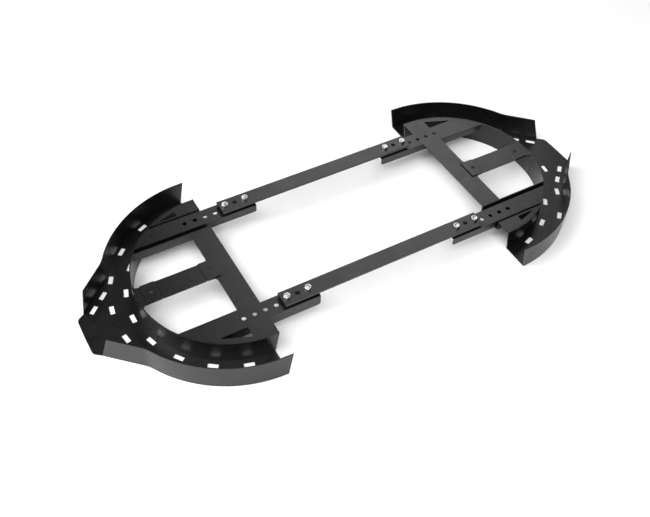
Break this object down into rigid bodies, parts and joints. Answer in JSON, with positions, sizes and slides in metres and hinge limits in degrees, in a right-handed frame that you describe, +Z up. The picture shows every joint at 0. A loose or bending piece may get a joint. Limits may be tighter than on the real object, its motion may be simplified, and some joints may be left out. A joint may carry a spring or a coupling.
{
  "type": "extendable cable trough frame",
  "caption": "Flat black sheet-steel frame: a U-shaped slotted trough round each end, joined by bolted side rails that set its length.",
  "frame": {"origin": "middle of the frame's footprint, on the floor", "axes": "+X along the side rails towards the right end unit, +Y from the near rail to the far rail, +Z up"},
  "size_m": [1.295, 0.568, 0.0781],
  "materials": {
    "powder_coat": "satin black powder coat with a fine grain",
    "zinc_plate": "bright zinc plate",
    "black_oxide": "black oxide, lightly oiled"
  },
  "bodies": {
    "left_end": {"left_deck": "powder_coat", "left_gusset_plate": "powder_coat", "left_arm_tray": "powder_coat", "left_side_arm": "powder_coat", "left_inner_wall": "powder_coat", "left_outer_wall_fixed_side": "powder_coat", "left_outer_wall_tray_side": "powder_coat", "left_trough_floor": "powder_coat", "left_strut": "powder_coat", "left_strut_screw_front": "black_oxide", "left_strut_screw_back": "black_oxide", "left_strut_nut_front": "black_oxide", "left_strut_nut_back": "black_oxide"},
    "rails": {"near_rail": "powder_coat", "far_rail": "powder_coat", "near_left_bolt_1": "zinc_plate", "near_left_spacer_1": "zinc_plate", "near_left_nut_1": "zinc_plate", "near_left_bolt_3": "zinc_plate", "near_left_spacer_3": "zinc_plate", "near_left_nut_3": "zinc_plate", "near_right_bolt_1": "zinc_plate", "near_right_spacer_1": "zinc_plate", "near_right_nut_1": "zinc_plate", "near_right_bolt_3": "zinc_plate", "near_right_spacer_3": "zinc_plate", "near_right_nut_3": "zinc_plate", "far_left_bolt_1": "zinc_plate", "far_left_spacer_1": "zinc_plate", "far_left_nut_1": "zinc_plate", "far_left_bolt_3": "zinc_plate", "far_left_spacer_3": "zinc_plate", "far_left_nut_3": "zinc_plate", "far_right_bolt_1": "zinc_plate", "far_right_spacer_1": "zinc_plate", "far_right_nut_1": "zinc_plate", "far_right_bolt_3": "zinc_plate", "far_right_spacer_3": "zinc_plate", "far_right_nut_3": "zinc_plate"},
    "right_end": {"right_deck": "powder_coat", "right_gusset_plate": "powder_coat", "right_arm_tray": "powder_coat", "right_side_arm": "powder_coat", "right_inner_wall": "powder_coat", "right_outer_wall_fixed_side": "powder_coat", "right_outer_wall_tray_side": "powder_coat", "right_trough_floor": "powder_coat", "right_strut": "powder_coat", "right_strut_screw_front": "black_oxide", "right_strut_screw_back": "black_oxide", "right_strut_nut_front": "black_oxide", "right_strut_nut_back": "black_oxide"}
  },
  "joints": [
    {"name": "left_length_slide", "type": "slide", "parent": "left_end", "child": "rails", "axis": [1, 0, 0], "range_m": [-0.1016, 0.0508]},
    {"name": "right_length_slide", "type": "slide", "parent": "rails", "child": "right_end", "axis": [1, 0, 0], "range_m": [-0.1016, 0.0508]}
  ]
}
